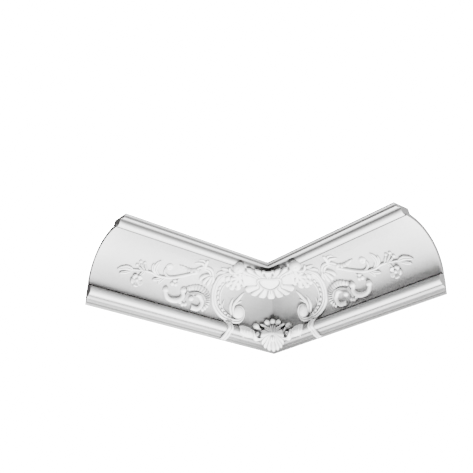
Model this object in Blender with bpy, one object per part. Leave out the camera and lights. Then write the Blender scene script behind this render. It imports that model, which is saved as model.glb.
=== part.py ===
"""Inside-corner element of a carved cove cornice, cast in one piece with its two legs and its carving.

The room corner is at the origin. One leg runs along +X on the wall y = 0, the other along -Y on the wall
x = 0, and the room is towards +X and -Y. The piece stands on its lower edge at z = 0, and its upper land
is at HEIGHT.
A point of the section has a depth, its distance from the wall, and a rise, its height over the lower edge.
"""

import math

import bmesh
import bpy
from mathutils import Vector

# Sizes of the section, in metres, from the foot up
LEG_LENGTH = 0.490
FOOT_DEPTH = 0.0030
FOOT_FILLET_RISE = 0.0065
SECOND_FILLET_DEPTH = 0.0053
SECOND_FILLET_RISE = 0.0053
OVOLO_DEPTH = 0.0062
OVOLO_RISE = 0.0042
NECK_RISE = 0.0020
TORUS_SET_BACK = 0.0020
TORUS_BULGE = 0.0083
TORUS_UNDER_RISE = 0.0080
TORUS_OVER_RISE = 0.0134
LOWER_QUIRK_DEPTH = 0.0027
LOWER_QUIRK_RISE = 0.0011
LOWER_QUIRK_LIP = 0.0005
COVE_SET_BACK = 0.0005
COVE_REACH = 0.0925
COVE_RISE = 0.0925
UPPER_QUIRK_REACH = 0.0010
UPPER_QUIRK_RISE = 0.0018
CROWN_OVOLO_REACH = 0.0105
CROWN_OVOLO_RISE = 0.0108
CROWN_OVOLO_STILT = 0.0012
CROWN_DROP = 0.0005
SOFFIT_REACH = 0.0070
DROP_FILLET_REACH = 0.0070
DROP_FILLET_DROP = 0.0020
CROWN_FILLET_RISE = 0.0043
TOP_FILLET_REACH = 0.0050
TOP_FILLET_RISE = 0.0032

# Sizes of the hidden back
SHELL_WALL = 0.0075
WALL_LAND_RISE = 0.0255
CEILING_LAND_REACH = 0.0410
CEILING_LAND_STEP = 0.0040

# Sizes of the carving that belong to no sheet
CARVED_ROOT = 0.0022
TORUS_ROOT_DEPTH = 0.0025
LOWEST_CARVING = 0.0005
VALLEY_FILL = 0.0140
BUD_RADIUS = 0.0128
BUD_PLACE = (0.191, -0.106, 0.129)

# The carving is drawn on a sheet laid on the cove, x along the leg and y up the curve
SHEET_LENGTH = 490.0
SHEET_RISE = 145.0
CROWN_SPAN = 17.0
SHEET_UNIT = LEG_LENGTH / SHEET_LENGTH

# Counts of the carving and facets of the round members
SHELL_PETALS = 16
FOOT_RIBS = 14
COVE_FACETS = 14
ROUND_FACETS = 4

# Share of the faces kept after the join, and the angle in degrees from which an edge stays sharp
FACES_KEPT = 0.60
SHARP_FROM = 32.0

# Places worked out from the sizes
NECK_DEPTH = SECOND_FILLET_DEPTH + OVOLO_DEPTH
OVOLO_FOOT = FOOT_FILLET_RISE + SECOND_FILLET_RISE
TORUS_FOOT = OVOLO_FOOT + OVOLO_RISE + NECK_RISE
TORUS_DEPTH = NECK_DEPTH - TORUS_SET_BACK
TORUS_LEVEL = TORUS_FOOT + TORUS_UNDER_RISE
COVE_FOOT = TORUS_LEVEL + TORUS_OVER_RISE + LOWER_QUIRK_RISE
COVE_FACE = TORUS_DEPTH - COVE_SET_BACK
COVE_CENTRE = COVE_FACE + COVE_REACH
COVE_TOP = COVE_FOOT + COVE_RISE
CROWN_FACE = COVE_CENTRE + UPPER_QUIRK_REACH
CROWN_LEVEL = COVE_TOP - CROWN_DROP + CROWN_OVOLO_RISE
CROWN_SOFFIT = CROWN_LEVEL + CROWN_OVOLO_STILT
DROP_FACE = CROWN_FACE + CROWN_OVOLO_REACH + SOFFIT_REACH
TOP_FACE = DROP_FACE + DROP_FILLET_REACH
PROJECTION = TOP_FACE + TOP_FILLET_REACH
DROP_SOFFIT = CROWN_SOFFIT - DROP_FILLET_DROP
TOP_SOFFIT = DROP_SOFFIT + CROWN_FILLET_RISE
HEIGHT = TOP_SOFFIT + TOP_FILLET_RISE

# Cross sections of carved forms: reach to each side and share of the lift, where none is the root
ROLL = ((-1.0, 0.0), (-0.85, 0.7), (0.0, 1.0), (0.85, 0.7), (1.0, 0.0))
RIDGE = ((-1.0, 0.0), (0.0, 1.0), (1.0, 0.0))
PLATE = ((-1.0, 0.0), (-0.9, 1.0), (0.0, 1.0), (0.9, 1.0), (1.0, 0.0))
COAT = ((-1.0, 0.0), (-0.9, 0.6), (-0.45, 1.0), (0.0, 1.0), (0.45, 1.0), (0.9, 0.6), (1.0, 0.0))

# Shares of a leaf's width and lift from its stalk to its tip, of a knob's radius and lift, and of a notch
LEAF_WIDTHS = (0.5, 1.0, 0.8, 0.1)
LEAF_LIFTS = (0.7, 1.0, 0.2)
KNOB_RINGS = ((1.0, -1.0), (0.85, 0.6), (0.35, 1.0))
LOBE_NOTCH = 0.12
ROOTED = -1.0


def clear_scene():
    for obj in list(bpy.data.objects):
        bpy.data.objects.remove(obj, do_unlink=True)


def arc(depth, rise, reach, lift, start, end, facets):
    """Points of an elliptic arc in the section, with its angles in degrees."""
    points = []
    for step in range(facets + 1):
        angle = math.radians(start + (end - start) * step / facets)
        points.append((depth + reach * math.cos(angle), rise + lift * math.sin(angle)))
    return points


def front_outline():
    """The room side of the section, from the foot up to the ceiling."""
    outline = [(0.0, 0.0), (FOOT_DEPTH, 0.0), (FOOT_DEPTH, FOOT_FILLET_RISE)]
    outline += [(SECOND_FILLET_DEPTH, FOOT_FILLET_RISE)]
    outline += arc(NECK_DEPTH, OVOLO_FOOT, OVOLO_DEPTH, OVOLO_RISE, 180, 90, ROUND_FACETS)
    outline += [(NECK_DEPTH, TORUS_FOOT)]
    outline += arc(TORUS_DEPTH, TORUS_LEVEL, TORUS_BULGE, TORUS_UNDER_RISE, -70, 0, ROUND_FACETS)
    outline += arc(TORUS_DEPTH, TORUS_LEVEL, TORUS_BULGE, TORUS_OVER_RISE, 15, 85, ROUND_FACETS)
    outline += [(COVE_FACE - LOWER_QUIRK_DEPTH, COVE_FOOT - LOWER_QUIRK_LIP)]
    outline += arc(COVE_CENTRE, COVE_FOOT, COVE_REACH, COVE_RISE, 180, 92, COVE_FACETS)
    outline += [(COVE_CENTRE - UPPER_QUIRK_REACH, COVE_TOP + UPPER_QUIRK_RISE)]
    outline += arc(CROWN_FACE, CROWN_LEVEL, CROWN_OVOLO_REACH, CROWN_OVOLO_RISE, -90, 0, ROUND_FACETS)
    outline += [(CROWN_FACE + CROWN_OVOLO_REACH, CROWN_SOFFIT), (DROP_FACE, CROWN_SOFFIT)]
    outline += [(DROP_FACE, DROP_SOFFIT), (TOP_FACE, DROP_SOFFIT), (TOP_FACE, TOP_SOFFIT)]
    outline += [(PROJECTION, TOP_SOFFIT), (PROJECTION, HEIGHT)]
    return outline


def back_outline():
    """The hidden side of the section, from the ceiling land down to the wall land."""
    land_end = PROJECTION - CEILING_LAND_REACH
    reach = COVE_REACH + SHELL_WALL
    lift = COVE_RISE + SHELL_WALL
    start = math.degrees(math.acos((land_end - CEILING_LAND_STEP - COVE_CENTRE) / reach))
    outline = [(land_end, HEIGHT)]
    outline += arc(COVE_CENTRE, COVE_FOOT, reach, lift, start, 180, COVE_FACETS // 2)
    outline += [(0.0, WALL_LAND_RISE)]
    return outline


def on_leg(side, along, depth, rise):
    """A point of the section at a distance along a leg: side 1 runs along +X, side -1 along -Y."""
    return Vector((along, -depth, rise)) if side > 0 else Vector((depth, -along, rise))


def skin(mesh, rings):
    """A closed form through rings of points: the end face is pulled from each ring to the next."""
    face = mesh.faces.new([mesh.verts.new(corner) for corner in rings[0]])
    for index, ring in enumerate(rings[1:]):
        passed = face
        pulled = bmesh.ops.extrude_face_region(mesh, geom=[passed])
        face = next(item for item in pulled["geom"] if isinstance(item, bmesh.types.BMFace))
        for corner, spot in zip(face.verts, ring):
            corner.co = spot
        if index:
            bmesh.ops.delete(mesh, geom=[passed], context="FACES_ONLY")


def object_of(mesh, name):
    data = bpy.data.meshes.new(name)
    mesh.to_mesh(data)
    mesh.free()
    obj = bpy.data.objects.new(name, data)
    bpy.context.scene.collection.objects.link(obj)
    return obj


def make_moulding():
    """The plain moulding: the section pulled from one leg's end to the mitre and on to the other end."""
    outline = front_outline() + back_outline()
    mesh = bmesh.new()
    right_end = [on_leg(1, LEG_LENGTH, depth, rise) for depth, rise in outline]
    mitre = [on_leg(1, depth, depth, rise) for depth, rise in outline]
    left_end = [on_leg(-1, LEG_LENGTH, depth, rise) for depth, rise in outline]
    skin(mesh, (right_end, mitre, left_end))
    bmesh.ops.recalc_face_normals(mesh, faces=mesh.faces)
    return object_of(mesh, "corner_moulding")


def lower_face(rise):
    """Depth of the smooth face that carving follows over the torus and the members under it."""
    if rise < TORUS_FOOT:
        return FOOT_DEPTH + (NECK_DEPTH - FOOT_DEPTH) * max(rise, 0.0) / TORUS_FOOT
    reach = TORUS_OVER_RISE if rise > TORUS_LEVEL else TORUS_UNDER_RISE
    share = min(abs(rise - TORUS_LEVEL) / reach, 1.0)
    return TORUS_DEPTH + TORUS_BULGE * math.sqrt(1.0 - share * share)


def face_at(y):
    """Depth and rise of the face at a height on the sheet, and the direction square to it."""
    if y < 0.0:
        rise = max(COVE_FOOT + y * SHEET_UNIT, LOWEST_CARVING)
        return lower_face(rise), rise, 1.0, 0.0
    if y <= SHEET_RISE:
        angle = math.pi / 2 * y / SHEET_RISE
        out, up = math.cos(angle), -math.sin(angle)
        return COVE_CENTRE - COVE_REACH * out, COVE_FOOT - COVE_RISE * up, out, up
    angle = math.radians(90.0 * (y - SHEET_RISE) / CROWN_SPAN - 90.0)
    out, up = math.cos(angle), math.sin(angle)
    return CROWN_FACE + CROWN_OVOLO_REACH * out, CROWN_LEVEL + CROWN_OVOLO_RISE * up, out, up


def on_right_leg(x, y, lift):
    """A point carved on the leg along +X: a lift below nothing is its root in the moulding."""
    depth, rise, out, up = face_at(y)
    if lift < 0.0 and y < 0.0:
        return on_leg(1, x * SHEET_UNIT, TORUS_ROOT_DEPTH, rise)
    height = lift * SHEET_UNIT if lift >= 0.0 else -CARVED_ROOT
    return on_leg(1, x * SHEET_UNIT, depth + height * out, rise + height * up)


def on_left_leg(x, y, lift):
    """The same point on the other leg: the mitre plane swaps X with -Y."""
    spot = on_right_leg(x, y, lift)
    return Vector((-spot.y, -spot.x, spot.z))


def in_corner(x, y, lift):
    """A point carved over the mitre, x across it, on a soft valley, with its root in the true one."""
    depth, rise, out, up = face_at(y)
    across = x * SHEET_UNIT
    if lift >= 0.0:
        height = lift * SHEET_UNIT
        away = math.sqrt(2.0) * depth + math.hypot(across, VALLEY_FILL) + height * out
        rise += height * up
    elif y < 0.0:
        away = math.sqrt(2.0) * TORUS_ROOT_DEPTH + abs(across)
    else:
        away = math.sqrt(2.0) * (depth - CARVED_ROOT * out) + abs(across)
        rise -= CARVED_ROOT * up
    return Vector(((away + across) / math.sqrt(2.0), (across - away) / math.sqrt(2.0), rise))


def smooth_route(points, steps):
    """A smooth line through a few points of the sheet."""
    route = []
    for index in range(len(points) - 1):
        before = Vector(points[max(index - 1, 0)])
        here = Vector(points[index])
        after = Vector(points[index + 1])
        beyond = Vector(points[min(index + 2, len(points) - 1)])
        for step in range(steps):
            share = step / steps
            bend = (after - before) * share
            bend += (2.0 * before - 5.0 * here + 4.0 * after - beyond) * share ** 2
            bend += (3.0 * here - before - 3.0 * after + beyond) * share ** 3
            route.append(tuple(here + bend / 2.0))
    return route + [tuple(points[-1])]


def curl(route, wide, tight, turn, steps):
    """Carries a route on as a spiral of shrinking radius; a positive turn goes to the left."""
    (x_before, y_before), (x, y) = route[-2:]
    heading = math.atan2(y - y_before, x - x_before)
    bend = math.radians(turn) / steps
    for step in range(steps):
        stride = abs(bend) * (wide + (tight - wide) * (step + 0.5) / steps)
        x += stride * math.cos(heading + bend / 2.0)
        y += stride * math.sin(heading + bend / 2.0)
        heading += bend
        route.append((x, y))
    return route


def along(values, share):
    """The value at a share of a list of evenly spaced values."""
    spot = share * (len(values) - 1)
    index = min(int(spot), len(values) - 2)
    return values[index] + (values[index + 1] - values[index]) * (spot - index)


def carve(mesh, place, route, widths, lifts, profile):
    """A band, leaf or roll along a route, with widths and lifts spread evenly from its start to its end."""
    rings = []
    last = len(route) - 1
    for index, (x, y) in enumerate(route):
        x_before, y_before = route[max(index - 1, 0)]
        x_after, y_after = route[min(index + 1, last)]
        length = math.hypot(x_after - x_before, y_after - y_before)
        side_x, side_y = (y_before - y_after) / length, (x_after - x_before) / length
        half = along(widths, index / last) / 2.0
        lift = along(lifts, index / last)
        ring = []
        for reach, share in profile:
            height = lift * share if share > 0.0 else ROOTED
            ring.append(place(x + side_x * half * reach, y + side_y * half * reach, height))
        rings.append(ring)
    skin(mesh, rings)


def leaf(mesh, place, points, width, lift, steps=1):
    """A leaf: narrow at its stalk, widest before the middle, pointed and low at its tip."""
    widths = [width * share for share in LEAF_WIDTHS]
    lifts = [lift * share for share in LEAF_LIFTS]
    carve(mesh, place, smooth_route(points, steps), widths, lifts, RIDGE)


def knob(mesh, place, x, y, radius, lift, sides=6):
    """A low round boss: a ring in the face, a smaller one over it and a top."""
    rings = []
    for reach, share in KNOB_RINGS:
        height = lift * share if share > 0.0 else ROOTED
        ring = []
        for index in range(sides):
            angle = 2.0 * math.pi * index / sides
            across = radius * reach * math.cos(angle)
            ring.append(place(x + across, y + radius * reach * math.sin(angle), height))
        rings.append(ring)
    skin(mesh, rings)


def fan(mesh, place, centre, edge, lobes, points, rings):
    """A fan of lobes round a centre. A ring has a share of the edge or its own oval, and two lifts."""
    count = lobes * points
    skins = []
    for reach, oval, (crest, valley) in rings:
        ring = []
        for index in range(count):
            angle = 2.0 * math.pi * index / count
            to_crest = abs(index % points - points * round(index % points / points))
            between_crests = 2.0 * to_crest / points
            if oval:
                across, down = oval[0] * math.sin(angle), oval[1] * math.cos(angle)
            else:
                notch = reach * (1.0 - LOBE_NOTCH * between_crests)
                across, down = (notch * part for part in edge(angle))
            lift = crest + (valley - crest) * between_crests
            ring.append(place(centre[0] + across, centre[1] - down, lift))
        skins.append(ring)
    skin(mesh, skins)


def rounded_box(angle, half_width, below, above, squareness):
    """A point of an edge between an ellipse and a box: its reach across and down from the centre."""
    sine, cosine = math.sin(angle), math.cos(angle)
    height = below if cosine > 0.0 else above
    down = height * max(1.0 - abs(sine) ** squareness, 0.0) ** (1.0 / squareness)
    return half_width * sine, math.copysign(down, cosine)


def frame_scroll(mesh):
    """The big scroll that frames the corner side of a leg, with its backing, its beads and its volute."""
    route = smooth_route(
        [(201, 100), (203, 84), (201, 66), (196, 48), (184, 28), (162, 12), (135, 7), (121, 9)], 2
    )
    curl(route, 20.0, 12.0, -300.0, 12)
    carve(mesh, on_right_leg, route, (10.0, 11.0, 10.0, 7.0, 4.0), (5.0, 6.0, 6.5, 6.0, 4.5), ROLL)
    backing = smooth_route([(190, 84), (192, 68), (187, 46), (175, 29), (156, 18), (138, 13)], 2)
    carve(mesh, on_right_leg, backing, (26.0, 24.0, 21.0, 14.0), (2.6, 2.6), PLATE)
    beads = smooth_route([(188, 86), (190, 70), (185, 50), (174, 33), (160, 22), (146, 16)], 8)
    for start in range(0, 40, 5):
        bead = beads[start:start + 5]
        carve(mesh, on_right_leg, bead, (2.0, 5.0, 5.4, 5.0, 2.0), (2.6, 5.0, 2.6), RIDGE)
    knob(mesh, on_right_leg, 117, 28, 12.5, 8.5, 8)


def frame_sprig(mesh):
    """The sprig of leaves that grows out of the volute of the frame scroll."""
    for points, width in (
        ([(133, 24), (136, 42), (129, 60), (126, 77)], 10.0),
        ([(138, 26), (142, 38), (141, 52)], 6.0),
        ([(131, 46), (122, 57)], 5.0),
        ([(160, 17), (166, 31), (165, 47)], 4.5),
    ):
        leaf(mesh, on_right_leg, points, width, 5.0, 2)


def comb_scroll(mesh):
    """The ribbed scroll at the head of the branch: a comb band, its collar, and the roll curled inside it."""
    comb = smooth_route(
        [(268, 48), (253, 55), (238, 58), (222, 54), (212, 46), (208, 35), (209, 23), (219, 12)], 2
    )
    carve(mesh, on_right_leg, comb, (9.0, 12.0, 13.0, 9.0), (4.5, 5.5, 4.5), ROLL)
    collar = smooth_route([(262, 36), (249, 43), (236, 46), (223, 43), (215, 33), (217, 21)], 2)
    carve(mesh, on_right_leg, collar, (4.0, 5.0, 3.5), (6.0, 6.5, 5.0), RIDGE)
    inner = smooth_route([(246, 12), (232, 11.5), (223, 19), (221, 30), (228, 39)], 2)
    curl(inner, 8.5, 6.0, -120.0, 4)
    carve(mesh, on_right_leg, inner, (10.0, 9.0, 9.0, 7.0), (5.5, 6.5, 6.5), ROLL)
    knob(mesh, on_right_leg, 250, 31, 6.0, 7.5)


def link_scroll(mesh):
    """The small scroll beside the comb, a roll with a knob at both ends, and the paw that joins the two."""
    roll = smooth_route([(276, 41), (272, 31), (280, 20), (295, 15.5), (309, 18), (318, 30)], 2)
    carve(mesh, on_right_leg, roll, (8.0, 10.0, 11.0, 10.0, 8.0), (6.0, 6.5, 6.0), ROLL)
    for x, y in ((275, 43), (317, 33)):
        knob(mesh, on_right_leg, x, y, 6.5, 7.5)
    carve(mesh, on_right_leg, [(262, 40), (266, 29), (269, 19)], (7.0, 6.5, 9.0), (5.5, 6.0, 5.5), RIDGE)
    for x, y in ((263, 15), (270, 13.5), (276, 17)):
        knob(mesh, on_right_leg, x, y, 4.5, 5.5)


def leaf_crown(mesh):
    """The arched leaf over the comb scroll, with the fingers it splits into, its spike and its ribbon."""
    arch = smooth_route([(223, 84), (227, 97), (239, 108), (254, 109), (265, 99), (269, 79)], 2)
    carve(mesh, on_right_leg, arch, (10.0, 11.0, 12.0, 11.0, 4.0), (6.0, 6.5, 6.5, 3.0), RIDGE)
    for points, width in (
        ([(226, 93), (221, 83), (216, 74)], 9.0),
        ([(229, 92), (228, 81), (225, 70)], 9.0),
        ([(231, 93), (235, 82), (236, 70)], 9.0),
        ([(233, 96), (242, 87), (245, 77)], 8.0),
        ([(252, 108), (258, 120), (264, 133)], 9.0),
        ([(256, 112), (266, 117), (279, 112)], 7.0),
        ([(260, 101), (277, 93), (292, 94), (308, 96)], 8.0),
    ):
        leaf(mesh, on_right_leg, points, width, 6.0)


def branch(mesh):
    """The branch from the crown of leaves to its leafy tip, with what grows on it."""
    stem = smooth_route(
        [(262, 92), (276, 82), (290, 73), (308, 64), (326, 59), (345, 57), (362, 60), (380, 59), (400, 55)], 1
    )
    carve(mesh, on_right_leg, stem, (10.0, 8.0, 6.5, 6.0, 4.0), (6.0, 5.5, 5.0, 4.5), RIDGE)
    for points, width in (
        ([(396, 57), (414, 54), (436, 46)], 11.0),
        ([(398, 54), (413, 46), (427, 42)], 8.0),
        ([(343, 59), (355, 67), (357, 78), (351, 91)], 7.5),
        ([(347, 60), (360, 70), (362, 82)], 6.0),
        ([(326, 60), (334, 50), (338, 41)], 7.5),
        ([(332, 58), (344, 50), (354, 46)], 7.0),
        ([(290, 73), (295, 64), (298, 56)], 5.0),
        ([(310, 63), (322, 62), (332, 69), (334, 80)], 5.0),
        ([(372, 61), (378, 67), (384, 75)], 4.5),
        ([(378, 61), (387, 67), (394, 75)], 4.5),
        ([(379, 61), (380, 54), (384, 46)], 5.5),
    ):
        leaf(mesh, on_right_leg, points, width, 5.0)
    for x, y, radius in (
        (296, 51, 4.8),
        (304, 50, 4.8),
        (302, 58, 4.8),
        (329, 83, 6.5),
        (385, 76, 3.6),
        (395, 76, 3.6),
        (398, 66, 3.8),
    ):
        knob(mesh, on_right_leg, x, y, radius, 5.0)


def flower_edge(angle):
    return rounded_box(angle, 13.0, 13.0, 13.0, 2.0)


def flower(mesh):
    """The flower that hangs under the branch: five petals round a knob."""
    rings = (
        (0.2, None, (ROOTED, ROOTED)),
        (0.95, None, (ROOTED, ROOTED)),
        (1.0, None, (2.5, 1.5)),
        (0.75, None, (5.0, 2.6)),
        (0.35, None, (4.0, 3.0)),
    )
    fan(mesh, on_right_leg, (389.0, 35.0), flower_edge, 5, 4, rings)
    knob(mesh, on_right_leg, 389, 35, 5.0, 7.0)


def bud_spray_edge(angle):
    return rounded_box(angle, 26.0, 30.0, 29.0, 2.0)


def bud_spray(mesh):
    """The bud under the crown moulding and the broad leaves that spread from under it."""
    rings = (
        (0.15, None, (ROOTED, ROOTED)),
        (0.96, None, (ROOTED, ROOTED)),
        (1.0, None, (2.5, 1.0)),
        (0.8, None, (5.0, 2.5)),
        (0.35, None, (4.0, 3.0)),
    )
    fan(mesh, on_right_leg, (164.0, 113.0), bud_spray_edge, 8, 2, rings)
    for middle, tip, width in (
        ((196, 117), (202, 98), 15.0),
        ((186, 112), (183, 88), 15.0),
        ((174, 103), (166, 74), 16.0),
        ((163, 104), (146, 85), 15.0),
        ((158, 118), (134, 104), 14.0),
        ((163, 133), (137, 127), 13.0),
        ((166, 146), (150, 150), 10.0),
    ):
        route = [(187, 134), middle, tip]
        carve(mesh, on_right_leg, route, (8.0, width, width * 0.4), (5.0, 8.0, 4.5), RIDGE)
    bud = bmesh.ops.create_uvsphere(mesh, u_segments=12, v_segments=7, radius=BUD_RADIUS)
    bmesh.ops.translate(mesh, verts=bud["verts"], vec=BUD_PLACE)


def torus_wrap(mesh):
    """The ribbed leaf that wraps the torus beside the corner, and the ribbon that crosses its end."""
    spread = [(x, -9.0) for x in (90, 104, 118, 132, 146, 158)]
    carve(mesh, on_right_leg, spread, (22.0, 27.0, 27.0, 20.0), (2.4, 3.2, 2.6), COAT)
    for route in (
        [(84, 0), (88, -18), (102, -35)],
        [(93, 3), (98, -15), (112, -34)],
        [(103, 4), (110, -11), (125, -30)],
    ):
        carve(mesh, on_right_leg, smooth_route(route, 3), (5.0, 8.0, 4.0), (6.0, 6.5, 4.0), RIDGE)
    ribbon = smooth_route([(146, 3), (142, -12), (145, -28), (153, -39)], 2)
    carve(mesh, on_right_leg, ribbon, (9.0, 10.0, 8.0), (5.0, 6.0, 4.0), ROLL)
    strand = smooth_route([(152, 4), (160, -12), (158, -28), (151, -38)], 1)
    carve(mesh, on_right_leg, strand, (7.0, 7.0, 5.0), (4.0, 5.0, 3.5), RIDGE)


def foot_shell_edge(angle):
    return rounded_box(angle, 33.0, 31.0, 25.0, 2.6 if math.cos(angle) > 0.0 else 2.0)


def foot_shell(mesh):
    """The small shell over the mitre at the foot of the moulding, with the volute on each side of it."""
    rings = (
        (0.1, None, (ROOTED, ROOTED)),
        (0.97, None, (ROOTED, ROOTED)),
        (1.0, None, (1.0, 0.5)),
        (0.86, None, (5.5, 2.5)),
        (0.5, None, (6.5, 4.5)),
        (0.2, None, (7.5, 7.0)),
    )
    fan(mesh, in_corner, (0.0, -4.0), foot_shell_edge, FOOT_RIBS, 2, rings)
    for x, y, radius in ((-12, 23, 6.5), (0, 26.5, 6.5), (12, 23, 6.5), (0, -26, 4.0)):
        knob(mesh, in_corner, x, y, radius, 6.5)
    volute = curl([(75, 6), (68, 6)], 13.5, 12.0, 270.0, 9)
    for place in (on_right_leg, on_left_leg):
        carve(mesh, place, volute, (6.0, 7.5, 5.0), (5.5, 7.0, 5.0), RIDGE)
        knob(mesh, place, 69, 5, 8.0, 9.0)


def shell_edge(angle):
    below = 36.0 + 8.0 * math.sin(angle) ** 2
    return rounded_box(angle, 57.0, below, 28.0, 4.0)


def corner_shell(mesh):
    """The shell in the corner: an oval boss in a rim, with petals all round and a small crown over it."""
    rings = (
        (0.1, None, (ROOTED, ROOTED)),
        (0.97, None, (ROOTED, ROOTED)),
        (1.0, None, (4.0, 1.0)),
        (0.9, None, (9.0, 3.0)),
        (0.72, None, (6.5, 2.5)),
        (1.0, (28.0, 17.5), (4.0, 4.0)),
        (1.0, (25.0, 15.5), (8.5, 8.5)),
        (1.0, (22.0, 13.0), (4.5, 4.5)),
        (1.0, (18.0, 10.5), (9.0, 9.0)),
        (1.0, (9.0, 5.0), (10.5, 10.5)),
    )
    fan(mesh, in_corner, (0.0, 120.0), shell_edge, SHELL_PETALS, 4, rings)
    for side in (-1, 1):
        crest = curl([(side * 1.0, 140.0), (side * 3.0, 146.0)], 6.0, 3.0, side * -240.0, 6)
        carve(mesh, in_corner, crest, (5.0, 5.0, 3.0), (8.0, 7.0), RIDGE)


def mirror_over_mitre(mesh):
    """Copies the carving of one leg to the other: the mitre plane swaps X with -Y."""
    copied = bmesh.ops.duplicate(mesh, geom=mesh.verts[:] + mesh.edges[:] + mesh.faces[:])
    for item in copied["geom"]:
        if isinstance(item, bmesh.types.BMVert):
            item.co = Vector((-item.co.y, -item.co.x, item.co.z))


def make_carving():
    """All carved forms in one mesh: those of a leg with their mirror images, then those of the corner."""
    mesh = bmesh.new()
    for form in (
        frame_scroll,
        frame_sprig,
        comb_scroll,
        link_scroll,
        leaf_crown,
        branch,
        flower,
        bud_spray,
        torus_wrap,
    ):
        form(mesh)
    mirror_over_mitre(mesh)
    foot_shell(mesh)
    corner_shell(mesh)
    bmesh.ops.triangulate(mesh, faces=mesh.faces)
    bmesh.ops.recalc_face_normals(mesh, faces=mesh.faces)
    return object_of(mesh, "carving")


def islands_of(mesh):
    """The sets of vertices that hang together, the smallest first."""
    left = set(mesh.verts)
    islands = []
    while left:
        island = set()
        front = {left.pop()}
        while front:
            vert = front.pop()
            island.add(vert)
            front |= {edge.other_vert(vert) for edge in vert.link_edges} - island
        left -= island
        islands.append(island)
    return sorted(islands, key=len)


def keep_outer_skin(obj):
    """Makes the join final and fills the small pockets that leaves close over the grooves behind them."""
    joined = obj.evaluated_get(bpy.context.evaluated_depsgraph_get())
    mesh = bmesh.new()
    mesh.from_mesh(bpy.data.meshes.new_from_object(joined))
    obj.modifiers.clear()
    pockets = islands_of(mesh)[:-1]
    for island in pockets:
        bmesh.ops.delete(mesh, geom=list(island), context="VERTS")
    print("pockets filled:", len(pockets), "faces:", len(mesh.faces))
    mesh.to_mesh(obj.data)
    mesh.free()


def primed_plastic():
    material = bpy.data.materials.new("primed_white")
    material.use_nodes = True
    surface = material.node_tree.nodes["Principled BSDF"]
    surface.inputs["Base Color"].default_value = (0.86, 0.86, 0.85, 1.0)
    surface.inputs["Roughness"].default_value = 0.62
    surface.inputs["Metallic"].default_value = 0.0
    return material


def main():
    clear_scene()
    moulding = make_moulding()
    moulding.data.materials.append(primed_plastic())
    carving = make_carving()
    carving.hide_render = True
    carving.display_type = "WIRE"
    join = moulding.modifiers.new("join carving", "BOOLEAN")
    join.operation = "UNION"
    join.solver = "EXACT"
    join.use_self = True
    join.object = carving
    keep_outer_skin(moulding)
    thin = moulding.modifiers.new("merge slivers of the join", "DECIMATE")
    thin.ratio = FACES_KEPT
    moulding.data.shade_smooth()
    moulding.data.set_sharp_from_angle(angle=math.radians(SHARP_FROM))


main()
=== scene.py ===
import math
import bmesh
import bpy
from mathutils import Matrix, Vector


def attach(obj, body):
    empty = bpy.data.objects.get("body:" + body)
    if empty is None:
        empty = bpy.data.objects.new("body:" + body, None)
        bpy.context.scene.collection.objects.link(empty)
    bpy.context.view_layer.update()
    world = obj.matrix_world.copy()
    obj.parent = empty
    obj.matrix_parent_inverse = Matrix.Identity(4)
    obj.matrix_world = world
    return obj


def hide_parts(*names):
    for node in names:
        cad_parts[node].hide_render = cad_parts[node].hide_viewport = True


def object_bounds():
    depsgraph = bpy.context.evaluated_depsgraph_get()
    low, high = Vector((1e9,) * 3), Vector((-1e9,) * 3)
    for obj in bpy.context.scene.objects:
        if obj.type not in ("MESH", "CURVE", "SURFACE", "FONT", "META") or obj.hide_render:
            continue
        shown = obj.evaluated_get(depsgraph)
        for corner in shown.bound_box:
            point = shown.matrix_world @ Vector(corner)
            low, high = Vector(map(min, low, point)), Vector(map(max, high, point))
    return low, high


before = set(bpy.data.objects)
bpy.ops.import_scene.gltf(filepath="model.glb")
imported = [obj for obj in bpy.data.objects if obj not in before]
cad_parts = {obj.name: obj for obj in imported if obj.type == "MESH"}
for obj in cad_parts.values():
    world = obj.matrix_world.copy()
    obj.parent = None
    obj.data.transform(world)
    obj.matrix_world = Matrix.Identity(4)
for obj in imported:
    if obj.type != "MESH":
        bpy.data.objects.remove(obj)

# %% [markdown]
# An inside-corner element of a coved cornice is cast in one mould with its carving and primed white. Here
# the plain moulding is drawn as one section pulled round the corner, and the carving is laid on it as
# closed forms that sink their roots in it, so that every edge of a leaf stays crisp. Two maps do the
# laying: one follows a leg, x along the leg and y up the curve of the cove, and one follows the corner, x
# across the mitre.

cad_low, cad_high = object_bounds()
LEG = cad_high.x - cad_low.x
HEIGHT = cad_high.z - cad_low.z
print("leg", round(LEG, 3), "height", round(HEIGHT, 3))

# %% [markdown]
# The section is read from its back outwards: two small fillets, a quarter round, a bold torus, the cove
# itself, and a crown of ovolo and fillets at the top, with a groove on either side of the cove. It
# could be traced as one curve, but named members are easier to check against a photo. All are written in
# millimetres of a piece 150 mm high and grow with the height of the solid, so the section keeps its
# proportions.

# %% The members of the section
MM = HEIGHT / 150.0
FOOT = 3.0 * MM
FOOT_TOP = 6.5 * MM
FILLET = 5.3 * MM
NECK = 11.5 * MM
NECK_TOP = 18.0 * MM
QUARTER_LEVEL = 11.8 * MM
QUARTER_RISE = 4.2 * MM
TORUS_DEPTH = 9.5 * MM
TORUS_LEVEL = 26.0 * MM
TORUS_BULGE = 8.3 * MM
TORUS_UNDER = 8.0 * MM
TORUS_OVER = 13.4 * MM
COVE_CENTRE = 101.5 * MM
COVE_FOOT = 40.5 * MM
COVE_REACH = 92.5 * MM
CROWN_FACE = 102.5 * MM
CROWN_LEVEL = 143.3 * MM
CROWN_REACH = 10.5 * MM
CROWN_RISE = 10.8 * MM
SKIN = 7.5 * MM
PROJECTION = 132.0 * MM
LAND = 41.0 * MM
LAND_SPLAY = 4.0 * MM
BACK_LAND = 25.5 * MM
LOWER_GROOVE = ((5.6, 39.8), (5.6, 42.1))
UPPER_GROOVE = ((98.9, 138.0), (101.3, 138.0))
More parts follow.
